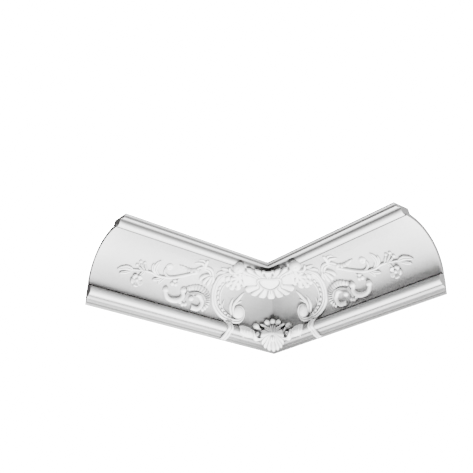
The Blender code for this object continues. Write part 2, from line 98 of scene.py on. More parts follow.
CROWN_STEPS = (
    (113.0, 144.5), (120.0, 144.5), (120.0, 142.5), (127.0, 142.5), (127.0, 146.8), (132.0, 146.8),
)


def arc(depth, rise, reach, lift, start, end, facets):
    """Points of an elliptic arc of the section, its angles in degrees."""
    points = []
    for step in range(facets + 1):
        angle = math.radians(start + (end - start) * step / facets)
        points.append((depth + reach * math.cos(angle), rise + lift * math.sin(angle)))
    return points


def in_metres(points):
    return [(depth * MM, rise * MM) for depth, rise in points]


def section():
    """The whole section as a closed outline of depths from the back and rises over the foot."""
    outline = [(0.0, 0.0), (FOOT, 0.0), (FOOT, FOOT_TOP), (FILLET, FOOT_TOP)]
    outline += arc(NECK, QUARTER_LEVEL, NECK - FILLET, QUARTER_RISE, 180, 90, 10)
    outline += [(NECK, NECK_TOP)]
    outline += arc(TORUS_DEPTH, TORUS_LEVEL, TORUS_BULGE, TORUS_UNDER, -74, 0, 12)
    outline += arc(TORUS_DEPTH, TORUS_LEVEL, TORUS_BULGE, TORUS_OVER, 7, 85, 12)
    outline += in_metres(LOWER_GROOVE)
    outline += arc(COVE_CENTRE, COVE_FOOT, COVE_REACH, COVE_REACH, 178.8, 92, 60)
    outline += in_metres(UPPER_GROOVE)
    outline += arc(CROWN_FACE, CROWN_LEVEL, CROWN_REACH, CROWN_RISE, -90, 0, 12)
    outline += in_metres(CROWN_STEPS)
    land_end = PROJECTION - LAND
    outline += [(PROJECTION, HEIGHT), (land_end, HEIGHT)]
    back = COVE_REACH + SKIN
    back_start = math.degrees(math.acos((land_end - LAND_SPLAY - COVE_CENTRE) / back))
    outline += arc(COVE_CENTRE, COVE_FOOT, back, back, back_start, 180, 30)
    outline += [(0.0, BACK_LAND)]
    return outline


print("section points", len(section()))

# %% [markdown]
# A curve with a bevel profile could follow the corner, but it would round or twist the mitre, and a face
# that is pulled from place to place keeps it true. Each pull after the first leaves the passed face inside,
# so it is taken out.

# %% Pulling a face through places


def leg_point(side, along, depth, rise):
    """A point of the section along a leg: side 1 runs along +X, side -1 along -Y."""
    return Vector((along, -depth, rise)) if side > 0 else Vector((depth, -along, rise))


def pull_through(mesh, rings):
    """A closed form: the end face is pulled from each ring of points to the next."""
    start = bmesh.ops.create_circle(mesh, cap_ends=True, segments=len(rings[0]), radius=1.0)
    face = start["verts"][0].link_faces[0]
    for corner, spot in zip(face.verts, rings[0]):
        corner.co = spot
    for index, ring in enumerate(rings[1:]):
        passed = face
        pulled = bmesh.ops.extrude_face_region(mesh, geom=[passed])
        face = next(item for item in pulled["geom"] if isinstance(item, bmesh.types.BMFace))
        for corner, spot in zip(face.verts, ring):
            corner.co = spot
        if index:
            bmesh.ops.delete(mesh, geom=[passed], context="FACES_ONLY")


def finished(mesh, name, sharp=38.0):
    """Closes a mesh into a smooth-shaded piece that stands for the cast solid."""
    bmesh.ops.recalc_face_normals(mesh, faces=mesh.faces)
    data = bpy.data.meshes.new(name)
    mesh.to_mesh(data)
    mesh.free()
    data.shade_smooth()
    data.set_sharp_from_angle(angle=math.radians(sharp))
    piece = bpy.data.objects.new(name, data)
    bpy.context.scene.collection.objects.link(piece)
    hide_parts("corner_moulding")
    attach(piece, "root")
    print(name, "faces", len(data.polygons))
    return piece


# %% [markdown]
# The moulding is one face in the shape of the section, set at the end of one leg and pulled twice: to the
# mitre, where every point lies as far along as it stands out, and on to the other leg's end. The real piece
# is cast in one mould, so nothing is joined at the mitre.

# %% The plain moulding
plain = bmesh.new()
outline = section()
pull_through(plain, (
    [leg_point(1, LEG, depth, rise) for depth, rise in outline],
    [leg_point(1, depth, depth, rise) for depth, rise in outline],
    [leg_point(-1, LEG, depth, rise) for depth, rise in outline],
))
moulding = finished(plain, "plain_moulding", 24.0)

# %% [markdown]
# Carving needs a face to lie on. Over the cove the sheet follows the curve, over the torus it wraps the
# bulge, and above the cove it turns round the crown. The corner map softens the valley of the mitre,
# because the shell there bridges it. A shrinkwrap could press flat carving on the moulding too, but a map
# keeps its edges where they are drawn. Places and lifts are in millimetres, and the foot of the cove is at
# a height of nothing on the sheet.

# %% The two maps that carving is laid with
SHEET = 145.0
CROWN_SPAN = 17.0
ROOTED = -1.0
ROOT = 1.8 * MM
ROOT_DEPTH = 2.5 * MM
VALLEY = 14.0 * MM
LOWEST = 0.5 * MM


def face_at(y):
    """Depth and rise of the carved face at a height on the sheet, and the direction square to it."""
    if y < 0.0:
        rise = max(COVE_FOOT + y * MM, LOWEST)
        if rise < NECK_TOP:
            return FOOT + (NECK - FOOT) * rise / NECK_TOP, rise, 1.0, 0.0
        reach = TORUS_OVER if rise > TORUS_LEVEL else TORUS_UNDER
        share = min(abs(rise - TORUS_LEVEL) / reach, 1.0)
        return TORUS_DEPTH + TORUS_BULGE * math.sqrt(1.0 - share * share), rise, 1.0, 0.0
    if y <= SHEET:
        angle = math.pi / 2 * y / SHEET
        out, up = math.cos(angle), -math.sin(angle)
        return COVE_CENTRE - COVE_REACH * out, COVE_FOOT - COVE_REACH * up, out, up
    angle = math.radians(90.0 * (y - SHEET) / CROWN_SPAN - 90.0)
    out, up = math.cos(angle), math.sin(angle)
    return CROWN_FACE + CROWN_REACH * out, CROWN_LEVEL + CROWN_RISE * up, out, up


def on_leg(x, y, lift):
    """A carved point on the leg along +X; a lift below nothing is the root in the moulding."""
    depth, rise, out, up = face_at(y)
    if lift < 0.0 and y < 0.0:
        depth, lift = ROOT_DEPTH, 0.0
    else:
        lift = -ROOT if lift < 0.0 else lift * MM
    return leg_point(1, x * MM, depth + lift * out, rise + lift * up)


def in_corner(x, y, lift):
    """A carved point over the mitre, x across it: the face is a soft valley, the root is in the true one."""
    depth, rise, out, up = face_at(y)
    across = x * MM
    if lift < 0.0:
        depth, rise = (ROOT_DEPTH, rise) if y < 0.0 else (depth - ROOT * out, rise - ROOT * up)
        away = math.sqrt(2.0) * depth + abs(across)
    else:
        away = math.sqrt(2.0) * depth + math.hypot(across, VALLEY) + lift * MM * out
        rise += lift * MM * up
    return Vector(((away + across) / math.sqrt(2.0), (across - away) / math.sqrt(2.0), rise))


print("half way up the cove", [round(part, 4) for part in on_leg(200.0, SHEET / 2.0, 0.0)])

# %% [markdown]
# A carver thinks of a scroll or a leaf as a line with a width and a height. The line is a smooth route
# through a few points of the sheet, a curl carries it on as a spiral, and a band is pulled along it ring by
# ring. A Blender curve would do for one scroll, but a route of plain points can be laid with either map.

# %% Routes and curls


def route_through(points, steps=8):
    """A smooth line through a few points."""
    route = []
    for index in range(len(points) - 1):
        before = Vector(points[max(index - 1, 0)])
        here = Vector(points[index])
        after = Vector(points[index + 1])
        beyond = Vector(points[min(index + 2, len(points) - 1)])
        for step in range(steps):
            share = step / steps
            bend = (after - before) * share
            bend += (2.0 * before - 5.0 * here + 4.0 * after - beyond) * share ** 2
            bend += (3.0 * here - before - 3.0 * after + beyond) * share ** 3
            route.append(tuple(here + bend / 2.0))
    return route + [tuple(points[-1])]


def curl(route, wide, tight, turn, steps=48):
    """Carries a route on as a spiral of shrinking radius; a positive turn goes to the left."""
    (x_before, y_before), (x, y) = route[-2:]
    heading = math.atan2(y - y_before, x - x_before)
    bend = math.radians(turn) / steps
    for step in range(steps):
        stride = abs(bend) * (wide + (tight - wide) * (step + 0.5) / steps)
        x += stride * math.cos(heading + bend / 2.0)
        y += stride * math.sin(heading + bend / 2.0)
        heading += bend
        route.append((x, y))
    return route


def between(values, share):
    """The value at a share of a list of evenly spaced values, eased from one to the next."""
    spot = share * (len(values) - 1)
    index = min(int(spot), len(values) - 2)
    part = spot - index
    return values[index] + (values[index + 1] - values[index]) * part * part * (3.0 - 2.0 * part)


print("points of a route with a curl", len(curl(route_through([(0, 0), (10, 5), (20, 5)]), 8.0, 4.0, 180.0)))

# %% [markdown]
# The cross section of a carved band decides what it reads as: a roll is round, a fluted band has a hollow
# between two raised edges, and a leaf has a narrow vein cut down its middle. Each could be drawn point by
# point, but a formula makes both halves alike.

# %% Cross sections of bands and leaves


def cross_section(height_at, points=12):
    """Reaches from -1 to 1 with the share of the lift at each, closed by a root at both sides."""
    ring = [(-1.0, ROOTED)]
    for index in range(points + 1):
        reach = -math.cos(math.pi * index / points)
        ring.append((reach, height_at(reach)))
    return ring + [(1.0, ROOTED)]


def rounded(reach):
    return 0.25 + 0.75 * max(1.0 - abs(reach) ** 2.6, 0.0) ** 0.5


def fluted(reach):
    return rounded(reach) - 0.42 * math.exp(-(reach / 0.34) ** 2)


def veined(reach):
    return 0.3 + 0.6 * max(1.0 - abs(reach) ** 5, 0.0) ** 0.5 - 0.28 * math.exp(-(reach / 0.13) ** 2)


BALL_RINGS = 10
BALL_SIDES = 24
BALL_TOP = 9.6
DIMPLE_SPREAD = 0.3
ROLL = cross_section(rounded)
FLUTE = cross_section(fluted, 16)
LEAF = cross_section(veined, 14)


def carve(mesh, place, route, widths, lifts, profile, serration=0.0, notches=0.0, ribs=0.0):
    """A band along a route. Over each notch its edge gains and loses the serration, its crest the ribs."""
    rings = []
    last = len(route) - 1
    for index, (x, y) in enumerate(route):
        x_before, y_before = route[max(index - 1, 0)]
        x_after, y_after = route[min(index + 1, last)]
        length = math.hypot(x_after - x_before, y_after - y_before)
        side_x, side_y = (y_before - y_after) / length, (x_after - x_before) / length
        share = index / last
        wave = math.cos(2.0 * math.pi * notches * share)
        half = between(widths, share) / 2.0 * (1.0 + serration * wave)
        lift = between(lifts, share) * (1.0 + ribs * wave)
        ring = []
        for reach, part in profile:
            height = lift * part if part >= 0.0 else ROOTED
            ring.append(place(x + side_x * half * reach, y + side_y * half * reach, height))
        rings.append(ring)
    pull_through(mesh, rings)


def leaf(mesh, place, points, width, lift=5.0, profile=LEAF, tip=0.8):
    """A leaf: narrow at its stalk, widest half way, pointed and lower at its tip."""
    widths = (width * 0.4, width * 0.85, width, width * 0.8, tip)
    lifts = (lift * 0.7, lift, lift * 0.9, lift * 0.6)
    carve(mesh, place, route_through(points, 10), widths, lifts, profile)


def ball(mesh, place, x, y, radius, lift, dimple=0.0):
    """A round boss, half buried, with an optional dimple in its top."""
    rings = []
    for step in range(BALL_RINGS):
        angle = math.pi / 2 * step / BALL_TOP
        height = lift * math.sin(angle) - dimple * math.exp(-(math.cos(angle) / DIMPLE_SPREAD) ** 2)
        if step == 0:
            height = ROOTED
        ring = []
        for index in range(BALL_SIDES):
            turn = 2.0 * math.pi * index / BALL_SIDES
            reach = radius * math.cos(angle)
            ring.append(place(x + reach * math.cos(turn), y + reach * math.sin(turn), height))
        rings.append(ring)
    pull_through(mesh, rings)


print("cross sections", len(ROLL), len(FLUTE), len(LEAF))

# %% [markdown]
# The frame scroll is the strongest line of the carving. It comes down from the leaves under the bud, swings
# out along the leg and rolls up in a volute with a full round eye. Inside its outer roll lie a row of beads
# and a thin inner rim. The beads could be balls, but on the real scroll they are long, so each is a short
# band that is thin at both ends.

# %% The frame scroll with its beads and volute
field = bmesh.new()


def frame_scroll(mesh):
    outer = route_through([
        (164, 110), (166, 119), (177, 123), (192, 119), (202, 107), (205, 90), (202, 70), (196, 48),
        (184, 28), (162, 12), (135, 7), (121, 9),
    ])
    curl(outer, 20.0, 13.0, -215.0)
    widths = (6.0, 10.0, 12.0, 12.0, 10.0, 7.0, 3.0)
    carve(mesh, on_leg, outer, widths, (8.0, 9.0, 7.0, 6.5, 6.5, 6.5, 5.0), FLUTE)
    backing = route_through([(190, 100), (193, 68), (187, 45), (174, 28), (156, 17), (138, 12)])
    carve(mesh, on_leg, backing, (20.0, 20.0, 18.0, 11.0), (2.2, 2.4, 2.2), ROLL)
    rim = route_through([(181, 88), (183, 68), (178, 48), (167, 32), (152, 21), (138, 17)])
    carve(mesh, on_leg, rim, (3.4, 3.4, 3.0, 2.0), (4.2, 4.6, 3.0), ROLL)
    beads = route_through([(188, 88), (190.5, 70), (185.5, 50), (174, 33), (160, 22), (146, 15.5)], 16)
    for start in range(0, 78, 9):
        bead = beads[start:start + 9]
        carve(mesh, on_leg, bead, (2.0, 5.4, 6.0, 5.4, 2.0), (2.0, 5.8, 6.2, 5.8, 2.0), ROLL)
    ball(mesh, on_leg, 120, 29.5, 15.5, 9.5)


frame_scroll(field)
print("field faces with the frame scroll", len(field.faces))

# %% [markdown]
# A sprig of slender leaves springs from the volute and fills the field of the frame. They are so narrow
# that a vein would be lost in them, so they are rolls.

# %% The sprig of the volute


def frame_sprig(mesh):
    leaf(mesh, on_leg, [(133, 22), (138, 42), (131, 60), (124, 80)], 8.0, 6.0, ROLL)
    leaf(mesh, on_leg, [(137, 20), (145, 38), (144, 58)], 6.5, 5.0, ROLL)
    leaf(mesh, on_leg, [(134, 44), (127, 52), (119, 57)], 4.5, 4.0, ROLL)
    leaf(mesh, on_leg, [(158, 17), (166, 30), (165, 50)], 4.5, 3.5, ROLL)


frame_sprig(field)
print("field faces with the sprig", len(field.faces))

# %% [markdown]
# At the head of the branch a scroll carries a comb, close ribs cut across its band, with a collar and a
# thick roll curled inside it. A smaller roll with a knob at both ends faces it, and a paw joins the two.
# The ribs could be cut one by one, but a wave along the band gives them all at once.

# %% The comb scroll and the link
run = bmesh.new()


def comb_scroll(mesh):
    comb = route_through([
        (268, 48), (253, 55), (238, 58), (222, 54), (212, 46), (208, 35), (209, 23), (219, 12),
    ], 20)
    carve(mesh, on_leg, comb, (9.0, 12.5, 13.5, 12.0, 9.0), (4.5, 5.5, 5.5, 4.0), ROLL, 0.08, 15.5, 0.4)
    collar = route_through([(262, 36), (249, 43), (236, 46), (223, 43), (215, 33), (217, 20)])
    carve(mesh, on_leg, collar, (4.0, 5.5, 5.0, 3.0), (6.0, 7.0, 5.0), FLUTE)
    inner = route_through([(247, 12), (232, 11.5), (223, 19), (221, 30), (228, 39)])
    curl(inner, 8.5, 6.0, -120.0)
    carve(mesh, on_leg, inner, (11.0, 9.0, 9.5, 9.0, 6.0), (5.5, 6.5, 7.0, 6.5), ROLL)
    ball(mesh, on_leg, 250, 31, 6.4, 7.5)


def link_scroll(mesh):
    roll = route_through([(276, 42), (272, 31), (280, 20), (295, 15.5), (309, 18), (318, 31)])
    carve(mesh, on_leg, roll, (8.0, 10.0, 11.5, 10.0, 8.0), (6.0, 6.5, 6.5, 6.0), ROLL)
    for x, y in ((274, 43.5), (316.5, 33.5)):
        ball(mesh, on_leg, x, y, 7.2, 8.0)
    paw = route_through([(261, 42), (266, 30), (269, 19)])
    carve(mesh, on_leg, paw, (8.0, 6.5, 6.5, 9.0), (5.5, 6.0, 5.0), FLUTE)
    for x, y in ((262.5, 15), (269.5, 13), (276, 16.5)):
        ball(mesh, on_leg, x, y, 4.8, 5.5)


comb_scroll(run)
link_scroll(run)
print("run faces with the comb scroll and its link", len(run.faces))

# %% [markdown]
# The branch runs on along the leg. Its stem thins from the crown of leaves at its head to the broad leaves
# at its tip, and what grows on it is set out here in the order in which it leaves the stem, the leaves
# first and the berries after them. Copies of one leaf would be quicker, but a carver bends each leaf its
# own way.

# %% The branch


def branch(mesh):
    stem = route_through([
        (262, 92), (276, 82), (290, 73), (308, 64), (326, 59), (345, 57), (362, 60), (380, 59), (408, 54),
    ])
    carve(mesh, on_leg, stem, (9.0, 7.0, 6.0, 5.0, 3.5), (6.0, 5.5, 5.0, 4.0), ROLL)
    for points, width in (
        ([(290, 73), (294, 66), (297, 57)], 4.95),
        ([(306, 65), (320, 62), (332, 68), (335, 78), (330, 83)], 4.95),
        ([(326, 60), (334, 51), (338, 41)], 8.8),
        ([(332, 58), (343, 50), (354, 46)], 8.8),
        ([(343, 58), (355, 66), (358, 78), (354, 93)], 11.0),
        ([(349, 59), (361, 68), (366, 81)], 7.7),
        ([(372, 61), (378, 67), (384, 74)], 4.4),
        ([(378, 61), (387, 67), (394, 74)], 4.4),
        ([(382, 60), (390, 62), (397, 66)], 4.4),
        ([(404, 54), (419, 55), (438, 47)], 10.45),
        ([(407, 52), (419, 45), (431, 40)], 7.7),
    ):
        leaf(mesh, on_leg, points, width, 5.5, tip=0.88)
    for x, y, radius, lift in (
        (297, 51, 5.2, 6.0), (305, 50, 5.2, 6.0), (302, 58, 5.2, 6.0), (385, 76, 3.8, 4.5),
        (395, 76, 3.8, 4.5), (399, 67, 4.0, 4.5),
    ):
        ball(mesh, on_leg, x, y, radius, lift)
    ball(mesh, on_leg, 328, 84, 8.5, 6.0, 2.5)


branch(run)
print("run faces with the branch", len(run.faces))

# %% [markdown]
# The crown of leaves at the head of the branch hangs over the comb scroll: an arched leaf that splits into
# drooping fingers, a spike and a ribbon up to the crown moulding, and a twisted leaf laid along the stem.
# The fingers are blunt rolls, as they look in the photo, and a pointed leaf would be too thin there.

# %% The crown of leaves


def leaf_crown(mesh):
    arch = route_through([(223, 84), (227, 97), (239, 108), (254, 109), (265, 99), (269, 78)])
    carve(mesh, on_leg, arch, (10.0, 11.0, 12.0, 12.0, 9.0, 1.0), (6.0, 7.0, 7.0, 6.0, 2.5), LEAF)
    for points, width, lift in (
        ([(225, 96), (217, 87), (215, 76)], 8.0, 7.0),
        ([(227, 94), (224, 82), (223, 69)], 9.0, 8.0),
        ([(231, 94), (234, 82), (234, 70)], 9.0, 8.5),
        ([(234, 97), (244, 87), (246, 76)], 8.0, 7.5),
        ([(252, 108), (258, 120), (262, 135)], 8.0, 6.0),
        ([(257, 112), (266, 119), (281, 113)], 6.5, 4.5),
        ([(261, 124), (271, 128), (278, 123)], 5.0, 3.5),
    ):
        route = route_through(points, 10)
        carve(mesh, on_leg, route, (width * 0.5, width, width, width * 0.5), (lift, lift, lift * 0.7), ROLL)
    twisted = route_through([(260, 100), (277, 92), (292, 92), (309, 96)], 12)
    carve(mesh, on_leg, twisted, (8.0, 9.0, 8.0, 2.0), (6.5, 6.0, 3.5), ROLL, 0.16, 6.0, 0.4)


leaf_crown(run)
print("run faces with the crown of leaves", len(run.faces))

# %% [markdown]
# A fan is how a carver lays out a shell: lobes round a centre, each with a crest and a valley beside it.
# The same form makes the flower, the cluster under the bud, the shell of the corner and the little shell at
# its foot. Separate petals would leave cracks between them, so the fan is one skin.

# %% A fan of lobes


def fan(mesh, place, centre, edge, lobes, rings, points, notch_depth, sharpness, ovals=()):
    """Rings from the root outwards and back to the top, each with its share of the edge and its lifts.

    The lifts are those of a crest and of a valley. The sharper the fan, the narrower is the valley between
    two lobes. Ovals, each with two half widths and a lift, may go on inside the last ring.
    """
    angles = [2.0 * math.pi * index / (lobes * points) for index in range(lobes * points)]
    skins = []
    for reach, crest, valley in rings:
        skin = []
        for angle in angles:
            phase = (0.5 - 0.5 * math.cos(angle * lobes)) ** sharpness
            across, down = (reach * (1.0 - notch_depth * phase) * part for part in edge(angle))
            skin.append(place(centre[0] + across, centre[1] - down, crest + (valley - crest) * phase))
        skins.append(skin)
    for half_width, half_height, lift in ovals:
        skins.append([
            place(centre[0] + half_width * math.sin(angle), centre[1] - half_height * math.cos(angle), lift)
            for angle in angles
        ])
    pull_through(mesh, skins)


def rounded_box(angle, half_width, below, above, squareness):
    """A point of an edge between an ellipse and a box: its reach across and down from the centre."""
    sine, cosine = math.sin(angle), math.cos(angle)
    height = below if cosine > 0.0 else above
    down = height * max(1.0 - abs(sine) ** squareness, 0.0) ** (1.0 / squareness)
    return half_width * sine, math.copysign(down, cosine)


print("edge at an eighth turn", [round(part, 2) for part in rounded_box(math.pi / 4, 30.0, 30.0, 20.0, 3.0)])

# %% [markdown]
# A flower hangs under the tip of the branch: five cupped petals round a raised eye, on a stalk of its own.
# It could be five leaves, but the petals run into each other, as the lobes of a fan do.

# %% The flower


def flower_edge(angle):
    return rounded_box(angle, 14.0, 14.0, 13.5, 2.0)


def flower(mesh):
    rings = (
        (0.1, ROOTED, ROOTED), (0.96, ROOTED, ROOTED), (1.0, 2.0, 0.8), (0.97, 5.5, 2.0), (0.86, 6.4, 2.4),
        (0.65, 4.0, 2.0), (0.4, 2.6, 2.0), (0.1, 2.4, 2.2),
    )
    fan(mesh, on_leg, (389.0, 35.0), flower_edge, 5, rings, 14, 0.2, 3)
    ball(mesh, on_leg, 389, 36, 4.6, 6.5)
    leaf(mesh, on_leg, [(379, 61), (381, 54), (386, 45)], 7.0, 5.5)


flower(run)
print("run faces with the flower", len(run.faces))

# %% [markdown]
# Under each bud a mass of leaf spreads over the corner of the frame in two layers of rolled lobes. Where
# two lobes meet, the carver drills an eye, a deep round hole, and lets the lobes touch again outside it.
# Cutting each eye with a boolean would leave ragged faces, so the rings of the fan dip there. The bud is a
# ball with a dimple, nearly free.

# %% The bud and its leaves
BUD_RADIUS = 12.8 * MM
BUD_DIMPLE = 2.2 * MM
BUD_DIMPLE_SPREAD = 0.16


def bud_spray_edge(angle):
    return rounded_box(angle, 31.0, 37.0, 26.0, 2.3)


def inner_spray_edge(angle):
    return rounded_box(angle, 20.0, 22.0, 20.0, 2.0)


def bud_spray(mesh):
    outer = (
        (0.15, ROOTED, ROOTED), (0.97, ROOTED, ROOTED), (1.0, 1.5, 1.0), (0.97, 4.5, 3.5), (0.9, 6.4, 4.2),
        (0.83, 6.8, 0.6), (0.76, 6.4, 0.6), (0.68, 5.8, 3.8), (0.5, 5.0, 4.4), (0.2, 5.0, 5.0),
    )
    fan(mesh, on_leg, (161.0, 112.0), bud_spray_edge, 10, outer, 12, 0.14, 3)
    inner = (
        (0.15, ROOTED, ROOTED), (0.97, ROOTED, ROOTED), (1.0, 4.0, 2.5), (0.95, 8.6, 5.6), (0.86, 9.8, 2.0),
        (0.74, 9.6, 3.0), (0.6, 9.0, 7.0), (0.2, 8.6, 8.4),
    )
    fan(mesh, on_leg, (166.0, 117.0), inner_spray_edge, 7, inner, 12, 0.16, 3)
    for points, width, lift in (
        ([(178, 134), (163, 144), (150, 152)], 11.0, 8.0),
        ([(178, 130), (160, 134), (141, 134)], 12.0, 9.0),
        ([(196, 128), (208, 124), (219, 124)], 9.0, 6.0),
        ([(200, 118), (211, 112), (217, 102)], 9.0, 6.0),
    ):
        leaf(mesh, on_leg, points, width, lift)
    collar = route_through([(177, 134), (182, 127), (191, 124), (200, 128), (204, 135)])
    carve(mesh, on_leg, collar, (3.0, 6.5, 7.0, 6.5, 3.0), (6.0, 8.5, 9.0, 8.0, 5.0), ROLL)


def bud(mesh):
    made = bmesh.ops.create_uvsphere(mesh, u_segments=40, v_segments=24, radius=BUD_RADIUS)
    centre = Vector((191.0, -106.0, 129.0)) * MM
    bmesh.ops.translate(mesh, verts=made["verts"], vec=centre)
    look = Vector((0.6, -0.45, -0.66)).normalized()
    for vert in made["verts"]:
        away = (vert.co - centre).normalized().angle(look)
        vert.co -= look * BUD_DIMPLE * math.exp(-(away / BUD_DIMPLE_SPREAD) ** 2)


bud_spray(field)
bud(field)
print("field faces with the bud and its leaves", len(field.faces))

# %% [markdown]
# The torus is wrapped beside the corner: a ribbed leaf lies over it like a sleeve, a ribbon crosses it
# further out, and a small volute curls above. One band could not be bent so far, so the sleeve is a plain
# band with ribs laid on it.

# %% The wraps of the torus
RIB_MIDDLE = (66.0, -10.0)
RIB_START = 26.0
RIB_STEP = 5.2
RIB_FLATTENING = 0.7


def torus_wrap(mesh):
    sleeve = [(x, -9.0) for x in range(74, 118, 3)]
    carve(mesh, on_leg, sleeve, (22.0, 27.0, 26.0, 16.0), (2.0, 3.0, 2.4), ROLL)
    for reach in (22.5, 27.0, 31.5, 36.0, 40.5):
        rib = []
        for step in range(12):
            angle = math.radians(RIB_START - RIB_STEP * step)
            down = RIB_FLATTENING * reach * math.sin(angle)
            rib.append((RIB_MIDDLE[0] + reach * math.cos(angle), RIB_MIDDLE[1] + down))
        carve(mesh, on_leg, rib, (2.0, 4.6, 4.2, 1.6), (3.4, 5.0, 1.6), ROLL)
    for shift in (0.0, 7.0):
        places = ((142, 3), (140, -13), (144, -29), (151, -39))
        ribbon = route_through([(x + shift, y) for x, y in places])
        carve(mesh, on_leg, ribbon, (6.0, 8.0, 8.0, 6.0), (5.0, 6.0, 5.5, 4.0), ROLL)
    knot = route_through([(136, 4), (146, -1), (157, 3)])
    carve(mesh, on_leg, knot, (4.0, 8.0, 4.0), (4.5, 6.5, 4.5), ROLL)
    volute = curl([(74, 9), (66, 9)], 17.0, 13.0, 290.0)
    carve(mesh, on_leg, volute, (4.0, 4.6, 4.4, 3.0), (7.0, 8.0, 7.0, 5.0), ROLL)
    leaf(mesh, on_leg, [(77, -20), (68, -12), (61, -4)], 7.0, 5.0)
    ball(mesh, on_leg, 64, 9, 8.4, 9.0)


torus_wrap(field)
print("field faces with the wraps", len(field.faces))

# %% [markdown]
# The shell of the corner is the middle of the whole carving. A smooth oval boss sits in a raised rim, and
# sixteen petals with rolled tips spread from it over the valley of the mitre up to the crown moulding. Two
# halves could be carved on the legs, but they would crease at the mitre, so the shell is laid whole, with
# the corner map.

# %% The shell of the corner
RIM_ROUNDNESS = 0.63
BOSS_ROUNDNESS = 0.6
corner_mesh = bmesh.new()


def corner_shell_edge(angle):
    below = 38.0 + 9.0 * math.sin(angle) ** 2
    return rounded_box(angle, 57.0, below, 35.0, 4.0)


def corner_shell(mesh):
    petals = (
        (0.1, ROOTED, ROOTED), (0.97, ROOTED, ROOTED), (1.0, 2.0, 0.6), (1.01, 6.0, 2.0), (0.98, 9.0, 2.4),
        (0.93, 10.0, 2.6), (0.86, 9.0, 2.4), (0.76, 7.4, 2.2), (0.66, 6.4, 2.2), (0.56, 5.8, 2.6),
    )
    rim = ((27.6, 4.0), (26.8, 6.6), (25.6, 7.4), (24.4, 6.6), (23.4, 3.8), (22.4, 3.8), (21.2, 5.8))
    boss = ((18.6, 7.2), (15.0, 7.8), (10.0, 8.2), (5.0, 8.3))
    ovals = [(across, across * RIM_ROUNDNESS, lift) for across, lift in rim]
    ovals += [(across, across * BOSS_ROUNDNESS, lift) for across, lift in boss]
    fan(mesh, in_corner, (0.0, 119.5), corner_shell_edge, 16, petals, 12, 0.12, 5, ovals)
    leaf(mesh, in_corner, [(0, 104), (0, 95), (0, 82)], 10.0, 9.5)
    for side in (-1, 1):
        crest = curl([(side * 2.0, 142.0), (side * 3.5, 149.0)], 6.0, 3.0, side * -290.0)
        carve(mesh, in_corner, crest, (4.0, 4.5, 3.0), (9.0, 10.0, 8.0), ROLL)


corner_shell(corner_mesh)
print("corner faces with the shell", len(corner_mesh.faces))

# %% [markdown]
# The little shell at the foot bridges the mitre. A narrow upper half rises to three beads, a broad lower
# half spreads over the torus, and a spear hangs down its middle. The corner map alone would let it sink
# above the torus, so a second map fills that hollow under it.

# %% The shell at the foot
FILL = 7.0
FILL_LEVEL = 1.0
FILL_SPREAD = 11.0


def foot_shell_edge(angle):
    half_width = 25.0 + 8.0 * math.cos(angle)
    return rounded_box(angle, half_width, 34.0, 24.0, 3.0 if math.cos(angle) > 0.0 else 2.0)


def over_torus(x, y, lift):
    """A point over the mitre with the hollow above the torus filled, so that the shell bridges it."""
    fill = FILL * math.exp(-((y - FILL_LEVEL) / FILL_SPREAD) ** 2)
    return in_corner(x, y, lift + fill if lift >= 0.0 else lift)


def foot_shell(mesh):
    rings = (
        (0.1, ROOTED, ROOTED), (0.97, ROOTED, ROOTED), (1.0, 0.8, 0.4), (0.98, 4.0, 1.2), (0.9, 6.0, 2.8),
        (0.75, 6.6, 4.2), (0.5, 7.0, 6.0), (0.25, 7.6, 7.4), (0.08, 8.0, 8.0),
    )
    fan(mesh, over_torus, (0.0, -3.0), foot_shell_edge, 18, rings, 8, 0.1, 2)
    for x, y, radius in ((-12, 24, 7.0), (0, 27.5, 7.0), (12, 24, 7.0)):
        ball(mesh, over_torus, x, y, radius, 8.0)
    leaf(mesh, over_torus, [(0, -9), (0, -21), (0, -36)], 9.0, 12.0)
    for side in (-1, 1):
        leaf(mesh, over_torus, [(side * 6, 6), (side * 17, 14), (side * 28, 17)], 7.0, 6.5, ROLL)


foot_shell(corner_mesh)
print("corner faces with the shell at the foot", len(corner_mesh.faces))

# %% [markdown]
# One leg is carved, and the other is its mirror image over the mitre plane. In the photo the two differ by
# about a centimetre along the leg, so the carving has the mean of both places. A Mirror modifier could do
# that too, but two finished meshes are plainer. Mirroring turns the faces inside out, so each mesh has its
# normals worked out again when it is finished.

# %% The pieces of the carving
OVER_MITRE = Matrix(((0, -1, 0, 0), (-1, 0, 0, 0), (0, 0, 1, 0), (0, 0, 0, 1)))


def mirrored(mesh):
    other = mesh.copy()
    bmesh.ops.transform(other, matrix=OVER_MITRE, verts=other.verts)
    return other


pieces = [moulding]
for hand, (frame_mesh, branch_mesh) in (("right", (field, run)), ("left", (mirrored(field), mirrored(run)))):
    pieces.append(finished(frame_mesh, hand + "_frame_carving"))
    pieces.append(finished(branch_mesh, hand + "_branch_carving"))
pieces.append(finished(corner_mesh, "corner_carving"))

# %% [markdown]
# The piece comes primed in matt white: a dense foam skin under a thin even coat. Close to, the coat has a
# faint pebble, and its white and its sheen drift a little over a hand's breadth. That is the same on every
# part of the piece, so it is made once, as a node group that both coats below use.

# %% The primer


def new_group(name, inputs, outputs):
    """A shader node group with named sockets, and its input and output nodes."""
    group = bpy.data.node_groups.new(name, "ShaderNodeTree")
    for label, kind in inputs:
        group.interface.new_socket(name=label, in_out="INPUT", socket_type="NodeSocket" + kind)
    for label, kind in outputs:
        group.interface.new_socket(name=label, in_out="OUTPUT", socket_type="NodeSocket" + kind)
    return group, group.nodes.new("NodeGroupInput"), group.nodes.new("NodeGroupOutput")


